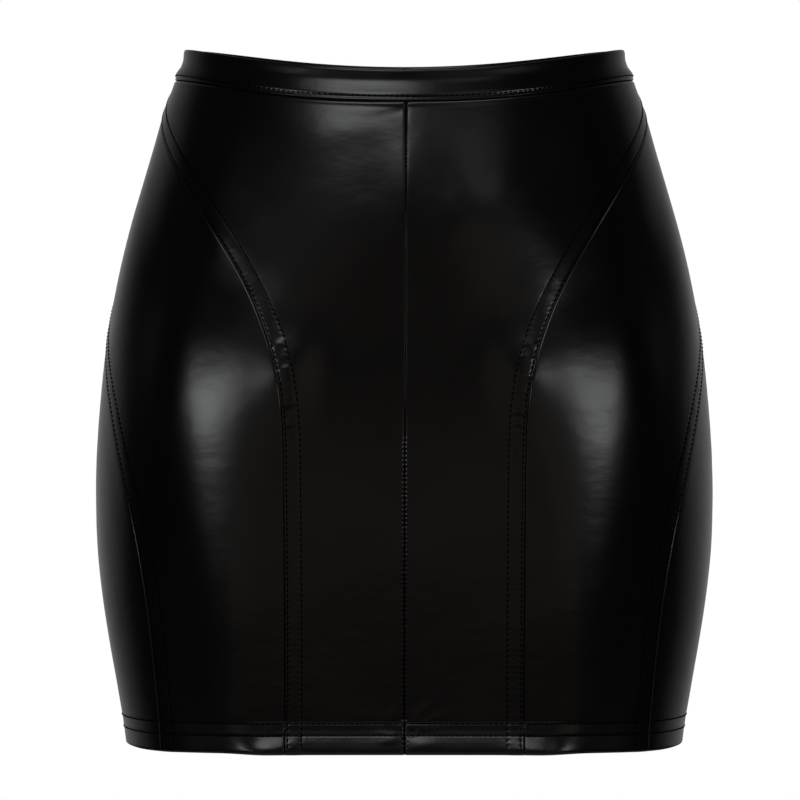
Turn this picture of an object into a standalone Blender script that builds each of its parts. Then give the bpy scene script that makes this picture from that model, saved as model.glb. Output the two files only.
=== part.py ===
"""A black faux leather mini skirt, in the hollow form it keeps when worn.

Six panels hang from a narrow folded waistband: two front panels that meet at a centre-front seam,
two side panels and two back panels. The seams between them spiral, from the back of the waist to
the front of the hem. Every piece is a wall of coated cloth with the garment's true shape.

Frame: metres, +Z up, the front of the skirt faces -Y and its own left side is at +X. The origin is
the centre of the waist opening, level with the top edge of the waistband at the two sides.

The skirt's form is one surface with two coordinates, both in millimetres:
  drop  how far down from the waist's top edge, measured at the side
  arc   how far round the section from the centre front, positive to +X, negative to -X
"""

import bpy
import bmesh
import numpy as np

MM = 0.001

# ---- Driving dimensions, in millimetres -------------------------------------------------------
LENGTH = 386.5        # waist's top edge to hem, at the side
BAND_HEIGHT = 17.0    # finished height of the folded waistband
CLOTH = 1.2           # coated cloth with its knitted backing, one layer
BAND_WALL = 2.4       # the band is folded double
HEM_WALL = 2.4        # the turned-up hem is double too
HEM_TURN = 18.0       # height of the turned-up hem
SEAM_GAP = 0.3        # clearance between two pieces that are sewn together
FELL_WIDTH = 9.0      # seam allowance stitched down under the panel in front of a curved seam
FELL_RISE = 0.5       # how far that allowance lifts the panel
FELL_SLOPE = 1.8      # width over which the lift fades out
ELLIPSE = 2.0         # flatness of a plain ellipse, the least that a section has

# The back's top edge rises a little beside each side and dips at the centre back. Both shares are
# of the front's dip at the same level.
BACK_FALL = 1.16
BACK_RISE = 1.17
BACK_ROUNDING = 0.2   # how gently the rise starts at the side

# The worn form, from the waist to the hem. A section is a rounded oval: flatness 2 is an ellipse,
# and more makes the front flatter with tighter corners.
SECTIONS = (
    # drop, half_width, front_depth, back_depth, flatness, front_dip
    (0.0, 123.0, 88.0, 90.0, 2.15, 16.8),
    (17.0, 128.1, 91.0, 94.0, 2.2, 16.5),
    (30.0, 132.9, 93.5, 98.0, 2.25, 16.0),
    (50.0, 138.9, 96.0, 103.0, 2.35, 14.0),
    (100.0, 153.4, 101.0, 114.0, 2.6, 8.5),
    (150.0, 164.3, 103.0, 121.0, 2.9, 3.5),
    (200.0, 170.3, 103.0, 123.0, 3.3, 0.8),
    (250.0, 172.5, 102.0, 119.0, 3.8, 0.0),
    (300.0, 169.4, 101.0, 112.0, 4.4, 0.0),
    (345.0, 162.2, 99.0, 107.0, 5.2, 0.0),
    (386.5, 154.7, 97.0, 103.0, 6.6, 0.0),
)

# Where the two curved seams of the +X side run. The -X side mirrors them.
FRONT_SEAM = (
    # drop, arc
    (17.0, 206.0),
    (36.0, 180.0),
    (56.0, 150.0),
    (80.0, 122.5),
    (107.0, 101.0),
    (136.0, 84.0),
    (165.0, 72.5),
    (195.0, 66.5),
    (230.0, 65.0),
    (300.0, 64.5),
    (386.5, 64.5),
)
SIDE_SEAM = (
    # drop, arc
    (17.0, 281.0),
    (50.0, 276.0),
    (85.0, 265.0),
    (125.0, 244.0),
    (160.0, 217.0),
    (196.0, 187.0),
    (225.0, 170.0),
    (260.0, 156.0),
    (300.0, 147.0),
    (345.0, 141.5),
    (386.5, 137.0),
)

# The waistband's cross-section, from its folded top edge down to its seam. It is slightly hollow,
# and swells out again over the seam allowances inside its lower edge.
BAND_PROFILE = (
    # drop, outer_face, share_of_wall
    (0.0, -0.8, 0.33),
    (0.5, -0.2, 0.83),
    (1.3, 0.0, 1.0),
    (5.0, -0.7, 1.0),
    (9.0, -0.9, 1.0),
    (12.0, -0.1, 1.0),
    (14.5, 0.3, 1.0),
    (BAND_HEIGHT, -0.1, 1.0),
)

# ---- Resolution of the facets -----------------------------------------------------------------
PANEL_ROWS = 24       # rows from the band down to the hem's fold
HEM_ROWS = 2          # rows in the turned-up hem
BAND_COLUMNS = 96     # columns round the waistband
PANEL_COLUMNS = {"front": 20, "side": 11, "back": 15}
SECTION_STEPS = 2000  # steps used to measure the length round half a section
NORMAL_STEP = 1.0     # distance used to find the surface's direction
LEDGE = 0.6           # height of the step where the hem's second layer ends
SHARP_ANGLE = 40.0    # degrees; edges sharper than this stay crisp in shading

# ---- Finishes ---------------------------------------------------------------------------------
LEATHER_COLOUR = (0.0045, 0.0042, 0.0041, 1.0)
LEATHER_ROUGHNESS = 0.38


def smooth_curve(rows):
    """A natural cubic spline through (x, y) rows whose x rises."""
    x, y = np.array(rows, float).T
    step = np.diff(x)
    slope = np.diff(y) / step
    bend = np.zeros(len(x))
    system = np.diag(2 * (step[:-1] + step[1:]))
    system += np.diag(step[1:-1], 1) + np.diag(step[1:-1], -1)
    bend[1:-1] = np.linalg.solve(system, 6 * np.diff(slope))

    def value(at):
        at = np.asarray(at, float)
        i = np.clip(np.searchsorted(x, at) - 1, 0, len(step) - 1)
        after = at - x[i]
        before = x[i + 1] - at
        cubic = (bend[i] * before**3 + bend[i + 1] * after**3) / (6 * step[i])
        linear_before = (y[i] / step[i] - bend[i] * step[i] / 6) * before
        linear_after = (y[i + 1] / step[i] - bend[i + 1] * step[i] / 6) * after
        return cubic + linear_before + linear_after

    return value


def section_column(index):
    """One column of the section table as a smooth function of drop."""
    return smooth_curve([(row[0], row[index]) for row in SECTIONS])


half_width = section_column(1)
front_depth = section_column(2)
back_depth = section_column(3)
flatness = section_column(4)
front_dip = section_column(5)


def half_section(drop):
    """Arc length, x, y and z along the +X half of one section, centre front to centre back."""
    turn = np.pi * (1 - np.cos(np.linspace(0, np.pi, SECTION_STEPS))) / 2
    in_front = turn <= np.pi / 2
    front, back = front_depth(drop), back_depth(drop)
    # The back is rounder in the measure that makes both halves equally round at the side.
    back_flatness = max(ELLIPSE, flatness(drop) * (front / back) ** 2)
    power = 2 / np.where(in_front, flatness(drop), back_flatness)
    x = half_width(drop) * np.sin(turn) ** power
    y = -np.cos(turn) * np.where(in_front, front, back)
    facing = np.abs(np.cos(turn))
    behind = BACK_FALL * facing**2 - BACK_RISE * facing**2 / (facing + BACK_ROUNDING)
    dip = front_dip(drop) * np.where(in_front, facing**2, behind)
    arc = np.concatenate([[0.0], np.cumsum(np.hypot(np.diff(x), np.diff(y)))])
    return arc, x, y, -drop - dip


def half_girth(drop):
    """Length from the centre front round to the centre back."""
    return half_section(drop)[0][-1]


def surface_points(drop, arcs):
    """Points on the skirt's surface at one drop, for an array of arcs."""
    length, x, y, z = half_section(drop)
    girth = 2 * length[-1]
    arcs = (np.asarray(arcs, float) + girth / 2) % girth - girth / 2
    side = np.where(arcs < 0, -1.0, 1.0)
    reach = np.abs(arcs)
    columns = [side * np.interp(reach, length, x), np.interp(reach, length, y)]
    columns.append(np.interp(reach, length, z))
    return np.stack(columns, axis=-1)


def surface_normals(drop, arcs):
    """Outward unit normals at the same places."""
    arcs = np.asarray(arcs, float)
    round_the_girth = (surface_points(drop, arcs + NORMAL_STEP)
                       - surface_points(drop, arcs - NORMAL_STEP))
    above = max(drop - NORMAL_STEP, 0.0)
    below = min(drop + NORMAL_STEP, LENGTH)
    upwards = surface_points(above, arcs) - surface_points(below, arcs)
    normals = np.cross(round_the_girth, upwards)
    return normals / np.linalg.norm(normals, axis=-1, keepdims=True)


def leather(name):
    """The coated cloth: near black, with the soft shine of a satin coating."""
    material = bpy.data.materials.new(name)
    material.use_nodes = True
    shader = material.node_tree.nodes["Principled BSDF"]
    shader.inputs["Base Color"].default_value = LEATHER_COLOUR
    shader.inputs["Roughness"].default_value = LEATHER_ROUGHNESS
    shader.inputs["Metallic"].default_value = 0.0
    return material


def cloth_wall(name, rows, columns_at, face_offsets):
    """Make one closed wall of cloth.

    rows lists (drop, outer_face, inner_face), columns_at(drop) gives the arcs of its columns, and
    face_offsets(drop, arcs) gives how far the outer face is lifted there.
    """
    outer, inner = [], []
    for drop, outer_face, inner_face in rows:
        arcs = columns_at(drop)
        points = surface_points(drop, arcs)
        normals = surface_normals(drop, arcs)
        lift = (outer_face + face_offsets(drop, arcs))[:, None]
        outer.append(points + normals * lift)
        inner.append(points + normals * inner_face)

    shape = bmesh.new()
    outer = [[shape.verts.new(point * MM) for point in row] for row in outer]
    inner = [[shape.verts.new(point * MM) for point in row] for row in inner]
    row_count, column_count = len(outer), len(outer[0])

    def patch(first, second):
        """Quads between two chains of vertices."""
        for k in range(len(first) - 1):
            shape.faces.new((first[k], second[k], second[k + 1], first[k + 1]))

    for r in range(row_count - 1):
        patch(outer[r], outer[r + 1])
        patch(inner[r + 1], inner[r])
    patch(inner[0], outer[0])
    patch(outer[-1], inner[-1])
    for column in (0, column_count - 1):
        outer_edge = [row[column] for row in outer]
        inner_edge = [row[column] for row in inner]
        if column == 0:
            patch(outer_edge, inner_edge)
        else:
            patch(inner_edge, outer_edge)
    bmesh.ops.recalc_face_normals(shape, faces=shape.faces)

    mesh = bpy.data.meshes.new(name)
    shape.to_mesh(mesh)
    shape.free()
    mesh.shade_smooth()
    mesh.set_sharp_from_angle(angle=np.radians(SHARP_ANGLE))
    mesh.materials.append(leather("leather_" + name))
    piece = bpy.data.objects.new(name, mesh)
    bpy.context.scene.collection.objects.link(piece)
    return piece


def slant(seam, drop):
    """How much longer a step round the girth is than the same step square to a slanting seam."""
    rise = (seam(drop + NORMAL_STEP) - seam(drop - NORMAL_STEP)) / (2 * NORMAL_STEP)
    return np.hypot(1.0, rise)


def panel_rows():
    """Rows of a panel: one layer of cloth down to the turned-up hem, then two."""
    top = BAND_HEIGHT + SEAM_GAP
    fold = LENGTH - HEM_TURN
    rows = [(drop, 0.0, -CLOTH) for drop in np.linspace(top, fold, PANEL_ROWS)]
    hem = np.linspace(fold + LEDGE, LENGTH, HEM_ROWS + 1)
    rows += [(drop, 0.0, -HEM_WALL) for drop in hem]
    return rows


def build_panel(kind, front_edge, rear_edge, has_fell, hand):
    """Build one panel between two seams. hand is 1 on the +X side and -1 on the -X side."""

    def columns_at(drop):
        start = front_edge(drop) + SEAM_GAP / 2 * slant(front_edge, drop)
        stretch = slant(rear_edge, drop)
        end = rear_edge(drop) - SEAM_GAP / 2 * stretch
        count = PANEL_COLUMNS[kind]
        if has_fell:
            fell = end - FELL_WIDTH * stretch
            plain_end = fell - FELL_SLOPE * stretch
            arcs = np.concatenate([np.linspace(start, plain_end, count), [fell, end]])
        else:
            arcs = np.linspace(start, end, count)
        return hand * arcs if hand > 0 else hand * arcs[::-1]

    def lift(drop, arcs):
        raised = np.zeros(len(arcs))
        if has_fell:
            beside_seam = slice(-2, None) if hand > 0 else slice(0, 2)
            raised[beside_seam] = FELL_RISE
        return raised

    side = "left" if hand > 0 else "right"
    return cloth_wall(f"{kind}_{side}", panel_rows(), columns_at, lift)


def build_waistband():
    """The folded band, one piece, closed at the centre back."""

    def columns_at(drop):
        reach = half_girth(drop) - SEAM_GAP / 2
        return np.linspace(-reach, reach, BAND_COLUMNS + 1)

    def lift(drop, arcs):
        return np.zeros(len(arcs))

    rows = []
    for drop, outer_face, share in BAND_PROFILE:
        rows.append((drop, outer_face, outer_face - BAND_WALL * share))
    return cloth_wall("waistband", rows, columns_at, lift)


def main():
    for old in list(bpy.data.objects):
        bpy.data.objects.remove(old, do_unlink=True)

    front_seam = smooth_curve(FRONT_SEAM)
    side_seam = smooth_curve(SIDE_SEAM)

    def centre_front(drop):
        return 0.0

    panels = (
        # kind, front edge, rear edge, has a stitched-down allowance along its rear edge
        ("front", centre_front, front_seam, True),
        ("side", front_seam, side_seam, True),
        ("back", side_seam, half_girth, False),
    )
    build_waistband()
    for kind, front_edge, rear_edge, has_fell in panels:
        for hand in (1, -1):
            build_panel(kind, front_edge, rear_edge, has_fell, hand)


main()
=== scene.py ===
# %% [markdown]
# # A black faux leather mini skirt
#
# The skirt is six panels of polyurethane coated knit under a narrow folded waistband. It keeps the
# hollow form that it has when worn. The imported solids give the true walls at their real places,
# with coarse facets. This script dresses them: each piece becomes a thin, smooth sheet of cloth
# with rolled seams, stitched-down allowances, a turned-up hem, puckers and soft creases.

# %% Load the frame
from functools import lru_cache

import bpy
import numpy as np
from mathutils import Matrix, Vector


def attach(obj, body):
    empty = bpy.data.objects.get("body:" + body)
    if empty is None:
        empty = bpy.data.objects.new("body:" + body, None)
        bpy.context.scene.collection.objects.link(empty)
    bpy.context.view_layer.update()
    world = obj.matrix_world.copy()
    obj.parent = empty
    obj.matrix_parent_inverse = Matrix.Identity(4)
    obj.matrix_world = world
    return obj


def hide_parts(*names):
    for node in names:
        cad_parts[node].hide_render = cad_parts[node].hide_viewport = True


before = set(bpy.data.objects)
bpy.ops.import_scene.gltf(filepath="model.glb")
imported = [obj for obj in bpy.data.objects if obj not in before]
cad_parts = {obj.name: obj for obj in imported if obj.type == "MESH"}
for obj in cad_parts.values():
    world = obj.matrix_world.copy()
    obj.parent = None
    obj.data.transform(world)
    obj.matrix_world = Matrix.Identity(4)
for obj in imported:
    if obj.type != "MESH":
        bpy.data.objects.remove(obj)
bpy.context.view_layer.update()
print("pieces to dress:", sorted(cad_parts))

# %% [markdown]
# ## The camera
#
# A long lens from far away keeps the sides of a garment from looking pinched. The camera looks
# level at the middle of the skirt, from 2.75 m in front of it.

# %% Camera
MM = 0.001
CAMERA_DISTANCE = 2.75  # in front of the waist, in metres
CAMERA_HEIGHT = -0.1957
CAMERA_SIDE = -0.0024
LENS_MM = 221.0
SENSOR_MM = 36.0

camera_data = bpy.data.cameras.new("camera")
camera_data.lens = LENS_MM
camera_data.sensor_width = SENSOR_MM
camera_data.clip_end = 50.0
camera = bpy.data.objects.new("camera", camera_data)
camera.location = (CAMERA_SIDE, -CAMERA_DISTANCE, CAMERA_HEIGHT)
camera.rotation_euler = (np.pi / 2, 0.0, 0.0)
bpy.context.scene.collection.objects.link(camera)
bpy.context.scene.camera = camera
print("camera at", tuple(round(c, 3) for c in camera.location))

# %% [markdown]
# ## The worn form
#
# A fitted skirt takes its shape from its cut and from the figure inside. It could be draped by a
# simulation, but a taut garment moves less than a simulation's errors. So the form is one smooth
# surface, worked out from a short table of sections, the same as the solids have. Its coordinates
# are the ones that a pattern cutter uses: how far down from the waist, and how far round from the
# centre front, both in millimetres.

# %% Sections and seams, in millimetres
LENGTH = 386.5  # from the waist to the hem, at the side
BAND_HEIGHT = 17.0
HIP_DROP = 215.0  # where the hips are widest
BACK_FALL = 1.16  # share of the front's dip that the back has
BACK_RISE = 1.17  # how far it rises first, beside each side
BACK_ROUNDING = 0.2  # how gently that rise starts
ELLIPSE = 2.0  # flatness of a plain ellipse, the least there is
SECTIONS = (
    # drop, half_width, front_depth, back_depth, flatness, front_dip
    (0, 123, 88, 90, 2.15, 16.3),
    (17, 128.1, 91, 94, 2.2, 16.5),
    (30, 132.9, 93.5, 98, 2.25, 16),
    (50, 138.9, 96, 103, 2.35, 14),
    (100, 153.4, 101, 114, 2.6, 8.5),
    (150, 164.3, 103, 121, 2.9, 3.5),
    (200, 170.3, 103, 123, 3.3, 0.8),
    (250, 172.5, 102, 119, 3.8, 0),
    (300, 169.4, 101, 112, 4.4, 0),
    (345, 162.2, 99, 107, 5.2, 0),
    (386.5, 154.7, 97, 103, 6.6, 0),
)
FRONT_SEAM = (
    # drop, arc
    (17, 206), (36, 180), (56, 150), (80, 122.5), (107, 101), (136, 84), (165, 72.5), (195, 66.5),
    (230, 65), (300, 64.5), (386.5, 64.5),
)
SIDE_SEAM = (
    # drop, arc
    (17, 281), (50, 276), (85, 265), (125, 244), (160, 217), (196, 187), (225, 170), (260, 156),
    (300, 147), (345, 141.5), (386.5, 137),
)
SECTION_STEPS = 1400


def read_off(table, at):
    """The second column of a table at a value of its first, on straight lines between its rows."""
    return np.interp(at, *np.array(table).T)


def eased(value, start, end):
    """0 up to the start, 1 from the end on, and a smooth step between."""
    share = np.clip((value - start) / (end - start), 0.0, 1.0)
    return share * share * (3 - 2 * share)


def unit(vectors):
    """Vectors of length 1 in the same directions."""
    return vectors / np.linalg.norm(vectors, axis=-1, keepdims=True)


def smooth_curve(rows):
    """A natural cubic spline through (x, y) rows whose x rises."""
    x, y = np.array(rows, float).T
    step = np.diff(x)
    slope = np.diff(y) / step
    bend = np.zeros(len(x))
    system = np.diag(2 * (step[:-1] + step[1:]))
    system += np.diag(step[1:-1], 1) + np.diag(step[1:-1], -1)
    bend[1:-1] = np.linalg.solve(system, 6 * np.diff(slope))

    def value(at):
        at = np.asarray(at, float)
        i = np.clip(np.searchsorted(x, at) - 1, 0, len(step) - 1)
        after = at - x[i]
        before = x[i + 1] - at
        cubic = (bend[i] * before**3 + bend[i + 1] * after**3) / (6 * step[i])
        linear_before = (y[i] / step[i] - bend[i] * step[i] / 6) * before
        linear_after = (y[i + 1] / step[i] - bend[i + 1] * step[i] / 6) * after
        return cubic + linear_before + linear_after

    return value


def section_column(index):
    """One column of the section table as a smooth function of drop."""
    return smooth_curve([(row[0], row[index]) for row in SECTIONS])


half_width, front_depth, back_depth = section_column(1), section_column(2), section_column(3)
flatness, front_dip = section_column(4), section_column(5)
front_seam, side_seam = smooth_curve(FRONT_SEAM), smooth_curve(SIDE_SEAM)


# %% The surface: points and directions at any drop and arc
@lru_cache(maxsize=None)
def half_section(drop):
    """Arc length, x, y and z along the +X half of one section, centre front to centre back."""
    turn = np.pi * (1 - np.cos(np.linspace(0, np.pi, SECTION_STEPS))) / 2
    in_front = turn <= np.pi / 2
    front, back = front_depth(drop), back_depth(drop)
    back_flatness = max(ELLIPSE, flatness(drop) * (front / back) ** 2)
    power = 2 / np.where(in_front, flatness(drop), back_flatness)
    x = half_width(drop) * np.sin(turn) ** power
    y = -np.cos(turn) * np.where(in_front, front, back)
    facing = np.abs(np.cos(turn))
    behind = BACK_FALL * facing**2 - BACK_RISE * facing**2 / (facing + BACK_ROUNDING)
    dip = front_dip(drop) * np.where(in_front, facing**2, behind)
    arc = np.concatenate([[0.0], np.cumsum(np.hypot(np.diff(x), np.diff(y)))])
    return arc, x, y, -drop - dip


@lru_cache(maxsize=None)
def half_girth(drop):
    """Length from the centre front round to the centre back."""
    return half_section(drop)[0][-1]


def centre_front(drop):
    """Arc of the centre front, which every other arc is measured from."""
    return 0.0


FRONT_WANDER = (
    # drop, how far the worn centre front lies to the wearer's left
    (0, 0.8), (110, 0.8), (150, 0.65), (185, 0.4), (215, 0.2), (250, 0.05), (386.5, -0.05),
)
WANDER_SPAN = 28.0  # how far round the cloth goes with it
HEM_SAG = (
    # arc, how much lower the hem hangs
    (0, 0), (80, 0), (110, 0.2), (130, 0.35), (150, 0.3), (180, 0), (500, 0),
)
SAG_START = 340.0
FRAME_STEP = 1.0
front_wander = smooth_curve(FRONT_WANDER)


def surface_points(drop, arcs):
    """Points on the skirt at one drop, for an array of arcs."""
    length, x, y, z = half_section(float(drop))
    girth = 2 * length[-1]
    arcs = np.asarray(arcs, float)
    arcs = arcs + front_wander(drop) * np.exp(-((arcs / WANDER_SPAN) ** 2))
    arcs = (arcs + girth / 2) % girth - girth / 2
    side = np.where(arcs < 0, -1.0, 1.0)
    reach = np.abs(arcs)
    x_at, y_at, z_at = (np.interp(reach, length, values) for values in (x, y, z))
    sag = read_off(HEM_SAG, reach) * max(0.0, (drop - SAG_START) / (LENGTH - SAG_START)) ** 2
    return np.stack([side * x_at, y_at, z_at - sag], axis=-1)


def surface_frame(drop, arcs):
    """Points, directions round the girth and outward directions at one drop."""
    arcs = np.asarray(arcs, float)
    across = surface_points(drop, arcs + FRAME_STEP) - surface_points(drop, arcs - FRAME_STEP)
    above, below = max(drop - FRAME_STEP, 0.0), min(drop + FRAME_STEP, LENGTH)
    up = surface_points(above, arcs) - surface_points(below, arcs)
    return surface_points(drop, arcs), unit(across), unit(np.cross(across, up))


girths = [2 * half_girth(drop) for drop in (0.0, HIP_DROP, LENGTH)]
print("waist %.0f mm, hips %.0f mm, hem %.0f mm round" % tuple(girths))

# %% [markdown]
# ## The relief of a worn skirt
#
# Taut coated cloth still isn't smooth. It swells softly over the thighs, pulls in long shallow
# troughs towards the seams, and gathers in short ridges where a row of stitches has drawn it in.
# Each such form is a soft bump with its own place, length, width and height, so that every one can
# be set by hand, and all layers of the cloth follow them together. One table has the broad forms
# of the front, one the small creases at the seams, hem and band, and one the forms of the back.

# %% Creases and swells, in millimetres
CREASES = (
    # side, drop, arc, half_length, half_width, height, lean in degrees from level
    (0, 159.1, 125.4, 15.8, 78.1, 1.92, -10.6),
    (0, 99.1, 110, 32.1, 115, -2.4, -39.3),
    (0, 180, 62, 25, 13.2, 2.4, -97.6),
    (0, 361.9, 115, 19.3, 336.1, -2.4, 11),
    (0, 204.5, 77.8, 68, 400, 2.4, 61.8),
    (0, 58.7, 2.9, 65.7, 22.1, 1.17, -17.1),
    (0, 86.6, 3.1, 70.9, 33, 2.4, -9.5),
    (0, 128.2, 112, 21.6, 69.6, -2.19, 67.9),
    (0, 313.3, 88, 22.2, 193.6, 2.4, -6.2),
    (0, 68.2, 17.4, 12, 26.6, -0.8, -1.2),
    (0, 252.1, 129.8, 40, 122.9, 2.39, 27.5),
    (-1, 97.5, 65.1, 20.9, 47.9, -1.27, -34.2),
    (-1, 214.3, 117.2, 36.4, 73.2, 1.58, 5),
    (-1, 58.6, 110.8, 34.1, 25.2, 1.87, -40),
    (-1, 143.1, 84.4, 47.9, 29.9, 0.99, 17.3),
    (1, 137.7, 74.9, 63, 55, 1.41, 40),
    (1, 231.4, 113.9, 42.5, 79.4, 1.82, 12.3),
    (1, 68, 55, 37.1, 16.1, 0.79, -39),
    (1, 117, 63, 18, 15, -0.6, -30),
    (-1, 30, 30, 24, 13, 0.4, 8),
    (-1, 99, 104, 22, 12, 1.2, -61),
)
SMALL_CREASES = (
    # side, drop, arc, half_length, half_width, height, lean in degrees from level
    (-1, 385, 73, 14, 5, 1, 10),
    (1, 386, 73, 15, 5, 0.9, 7),
    (0, 374, 74, 6, 2.4, 0.15, 20),
    (-1, 379.5, 7.5, 6, 2.4, 0.25, 4),
    (-1, 376.6, 8, 7, 2.2, 0.18, -8),
    (1, 382, 9.5, 9, 4, 0.4, -6),
    (1, 373, 9, 8, 2.4, 0.25, 5),
    (1, 375.4, 4, 2.3, 1.9, -1, 0),
    (-1, 367, 7, 9, 2.6, 0.12, 55),
    (1, 366, 8, 10, 2.8, 0.13, -52),
    (1, 369.5, 11, 8, 2, 0.1, -25),
    (0, 163.5, 68, 4, 1.8, 0.3, 22),
    (0, 171, 66, 3, 1.3, 0.14, 25),
    (-1, 178, 64.5, 4.2, 2.2, 0.36, 20),
    (1, 180.5, 64, 4.4, 2.2, 0.34, 24),
    (0, 187, 62.5, 3, 1.5, -0.14, 25),
    (-1, 197, 61.5, 3.6, 1.7, 0.22, 24),
    (1, 201.5, 61, 3.4, 1.6, 0.2, 14),
    (0, 208, 61.3, 3.2, 1.6, 0.18, 20),
    (-1, 216.5, 60.8, 3, 1.5, 0.13, 22),
    (1, 225, 60.5, 3.2, 1.6, 0.13, 16),
    (-1, 18.5, 16, 24, 6, 0.5, 2),
    (-1, 21.5, 5, 6, 2.4, -0.3, 25),
    (-1, 20.4, 26, 24, 1.9, -0.14, 0),
    (1, 20.6, 22, 18, 1.6, -0.08, 0),
    (1, 32, 6, 14, 3, 0.1, 64),
    (-1, 47, 5, 12, 3.2, 0.1, -60),
)
BACK_CREASES = (
    # side, drop, arc from the centre back, and the rest as above
    (0, 150, 78, 62, 58, 1.5, -18),
    (0, 262, 62, 70, 20, -0.9, 8),
    (-1, 247, 38, 60, 8, -0.45, 4),
    (1, 274, 50, 66, 9, -0.5, 9),
    (-1, 58, 44, 42, 8, -0.5, 32),
    (1, 49, 58, 46, 9, -0.5, -28),
    (-1, 86, 92, 36, 7, 0.4, 41),
    (1, 118, 104, 40, 10, -0.5, -36),
    (-1, 302, 88, 44, 10, -0.5, -13),
    (1, 319, 70, 52, 12, -0.6, 11),
    (-1, 344, 46, 38, 13, 0.5, 7),
    (1, 352, 104, 34, 9, 0.4, -9),
)
FADE_SHARES = (0.66, 0.95)
SIDE_BLEND = 5.0  # width over which a form of one half ends at the centre
SIDE_BLEND_SHARE = 0.3  # its most, as a share of the form's arc
CENTRE_ROUNDING = 16.0  # how softly mirrored forms meet at the centre
ROUNDING_SPAN = 24.0


@lru_cache(maxsize=None)
def side_arc(drop):
    """How far round from the centre front the skirt is at its widest."""
    length, x, _, _ = half_section(drop)
    return length[np.argmax(x)]


def front_share(drop, arcs):
    """1 over the front, and 0 from just in front of the side on."""
    return 1 - eased(np.abs(arcs) / side_arc(float(drop)), *FADE_SHARES)


def back_share(drop, arcs):
    """1 over the back, and 0 from just behind the side on."""
    girth, widest = half_girth(float(drop)), side_arc(float(drop))
    from_back = (girth - np.abs(arcs)) / (girth - widest)
    return (1 - eased(from_back, *FADE_SHARES)) * (np.abs(arcs) > widest)


def soft_ridges(table, drop, arcs):
    """The summed height of a table's ridges at one drop. Side 0 is both halves, 1 the +X one."""
    rounding = CENTRE_ROUNDING * np.exp(-((drop / ROUNDING_SPAN) ** 2))
    total = np.zeros(len(arcs))
    for where, at_drop, at_arc, length, width, height, lean in table:
        turn = np.radians(lean)
        down = drop - at_drop
        round_by = np.hypot(arcs, rounding) - at_arc
        along = round_by * np.cos(turn) + down * np.sin(turn)
        across = down * np.cos(turn) - round_by * np.sin(turn)
        blend = min(SIDE_BLEND, SIDE_BLEND_SHARE * at_arc)
        share = 1.0 if where == 0 else 1 / (1 + np.exp(-where * arcs / blend))
        total += share * height * np.exp(-((along / length) ** 2) - (across / width) ** 2)
    return total


# %% Slow unevenness of the whole surface
WAVES = 14
WAVE_SPAN = (24.0, 75.0)
WAVE_HEIGHT = 0.01
WAVE_DEPTH_SHARE = 0.6  # how far each runs from front to back
WAVE_SEED = 7
picker = np.random.default_rng(WAVE_SEED)
wave_turns = picker.uniform(0, 2 * np.pi, WAVES)
wave_lengths = picker.uniform(*WAVE_SPAN, WAVES)
wave_starts = picker.uniform(0, 2 * np.pi, WAVES)


def slow_waves(points):
    """A gentle unevenness at points on the skirt, from crossed waves of many lengths."""
    total = np.zeros(len(points))
    for turn, length, start in zip(wave_turns, wave_lengths, wave_starts):
        along = points @ (np.cos(turn), WAVE_DEPTH_SHARE, np.sin(turn))
        total += np.sin(2 * np.pi * along / length + start)
    return WAVE_HEIGHT * total


def relief(drop, arcs, points):
    """How far the worn cloth stands proud of the plain form, in millimetres."""
    arcs = np.asarray(arcs, float)
    behind = np.where(arcs < 0, -1, 1) * (half_girth(float(drop)) - np.abs(arcs))
    total = slow_waves(points) + soft_ridges(SMALL_CREASES, drop, arcs)
    total += soft_ridges(CREASES, drop, arcs) * front_share(drop, arcs)
    return total + soft_ridges(BACK_CREASES, drop, behind) * back_share(drop, arcs)


print(len(CREASES) + len(SMALL_CREASES) + len(BACK_CREASES), "soft forms and", WAVES, "slow waves")

# %% [markdown]
# ## Seams
#
# The two curved seams on each side are lapped: both seam allowances lie under the panel in front
# and are held by two rows of topstitching, 1.5 and 9 mm from the seam. The extra layers lift that
# strip by a fifth of a millimetre, and the rows press thin grooves into it. The centre seams are
# plain seams, pressed open. Near the band and on the lower half, the centre front's own stitches
# gather its two lips into small beads.

# %% Seam profiles, in millimetres
NEAR_ROW = 1.5
FAR_ROW = 9.0
LAP_PROFILE = (
    # distance_in_front_of_seam, height
    (0, 0.16), (0.4, 0.2), (0.8, 0.19), (1.1, 0.14), (1.5, 0.08), (1.9, 0.13), (2.5, 0.18),
    (3.6, 0.2), (5.2, 0.2), (6.8, 0.17), (7.9, 0.11), (8.5, 0.05), (9, -0.03), (9.5, 0),
    (10.4, 0.02), (12, 0.01), (14, 0), (18, 0),
)
lap_height = smooth_curve(LAP_PROFILE)
LAP_END = 16.0  # where the lapped strip has ended
UNDER_LAP = 1.0  # how deep the panel behind goes on under it
DIP_SPAN = 0.34
STITCH_PITCH = 3.0
SCALLOP = 0.05  # height of the cloth drawn up at a needle hole
SCALLOP_REACH = 0.9
SCALLOP_OUTSIDE = 0.5  # share of that reach outside the strip
SCALLOP_OFFSET = 0.5  # distance of its top from the row
LIP_PITCH = 2.43
LIP_SCALLOPS = {1: 0.13, -1: 0.12}  # their height on each lip
LIP_MIDDLE = 0.85
LIP_REACH = 0.5
LIP_STRENGTH = (
    # drop, how far the lips are gathered and rolled
    (17, 0.7), (40, 0.5), (90, 0.05), (200, 0), (222, 0.95), (280, 1.1), (386.5, 1.3),
)
LIP_FILL = (
    # distance_from_seam, height added where the lips are not rolled
    (0.26, 0), (0.29, 0.46), (0.39, 0.41), (0.52, 0.36), (0.66, 0.31), (0.82, 0.24),
    (0.98, 0.165), (1.17, 0.08), (1.44, 0.01), (2, 0),
)
SEAM_STEP = 2.0


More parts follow.
